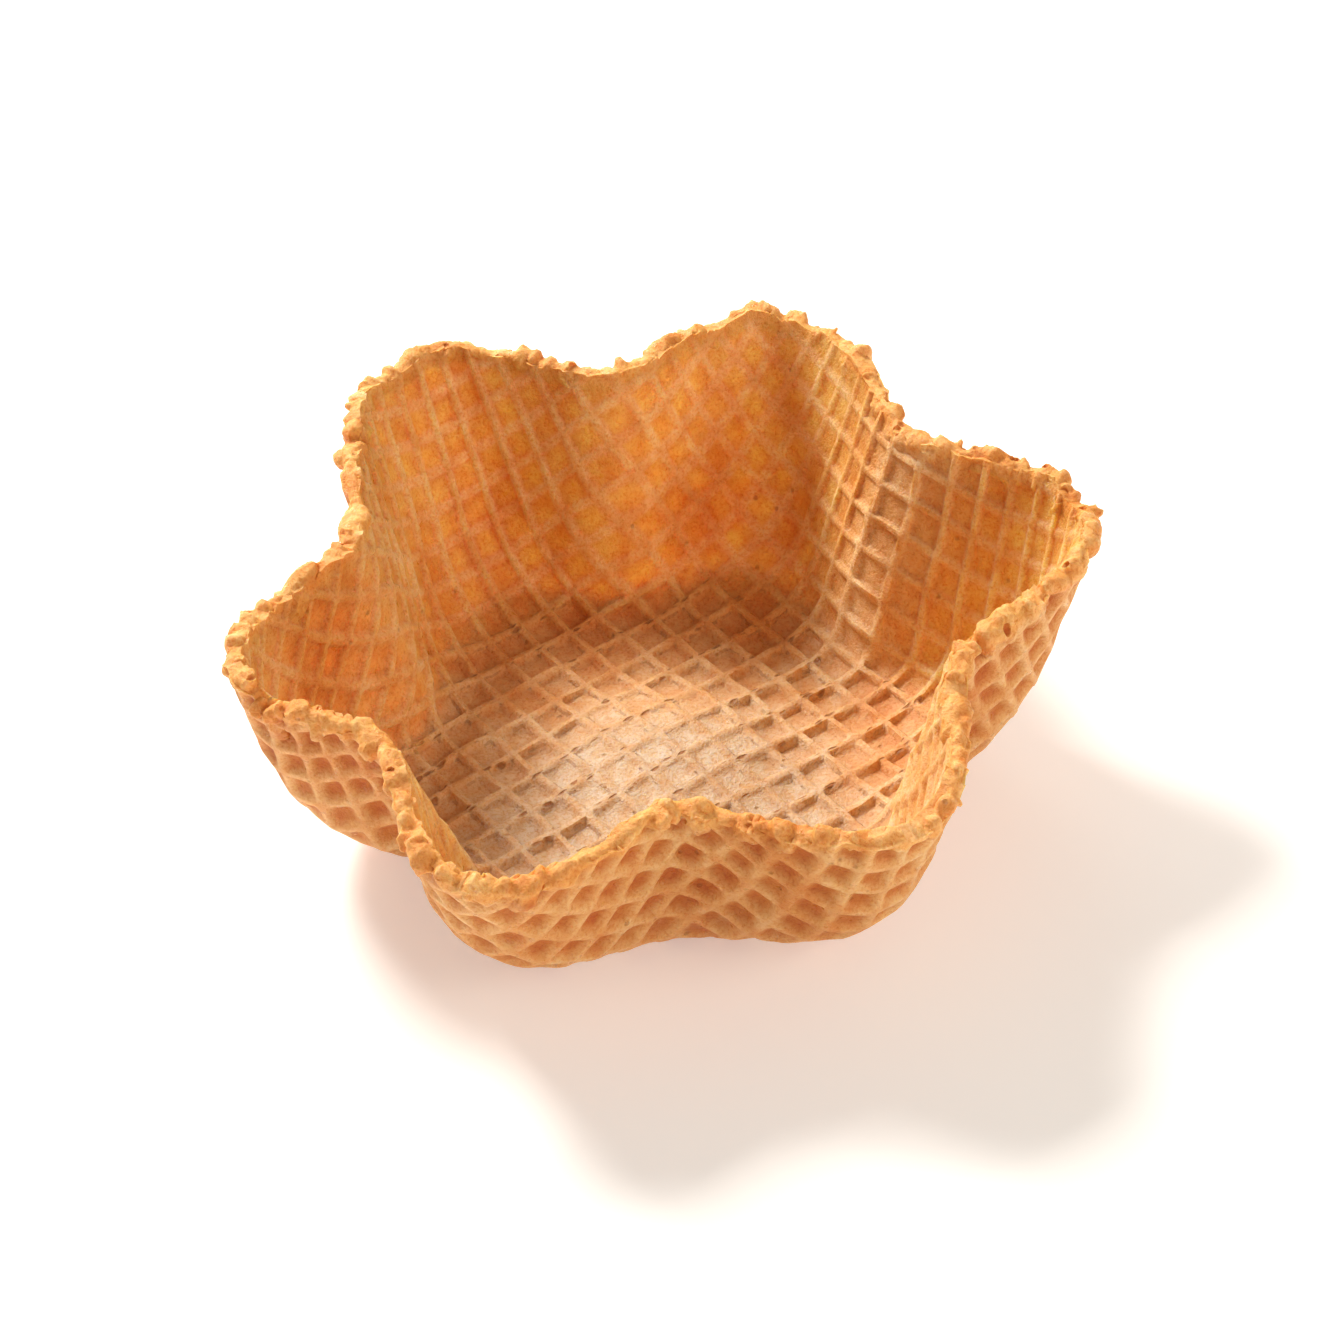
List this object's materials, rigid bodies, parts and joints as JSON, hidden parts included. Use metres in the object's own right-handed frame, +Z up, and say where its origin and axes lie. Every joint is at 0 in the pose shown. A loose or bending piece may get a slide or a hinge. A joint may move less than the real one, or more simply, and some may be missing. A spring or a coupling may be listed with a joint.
{
  "type": "waffle tulip cup",
  "caption": "Edible baked waffle cup, a round sheet with a square pit lattice on both faces, pressed into a fluted flower-shaped bowl with a flat floor and a ragged rim.",
  "frame": {"origin": "middle of the cup on the plane that its underside stands on", "axes": "+Z up out of the cup's mouth, -Y towards the lowest stretch of the rim"},
  "size_m": [0.1268, 0.1224, 0.0448],
  "materials": {
    "baked_waffle": "dry baked crust"
  },
  "bodies": {
    "root": {"waffle_cup": "baked_waffle"}
  },
  "joints": []
}
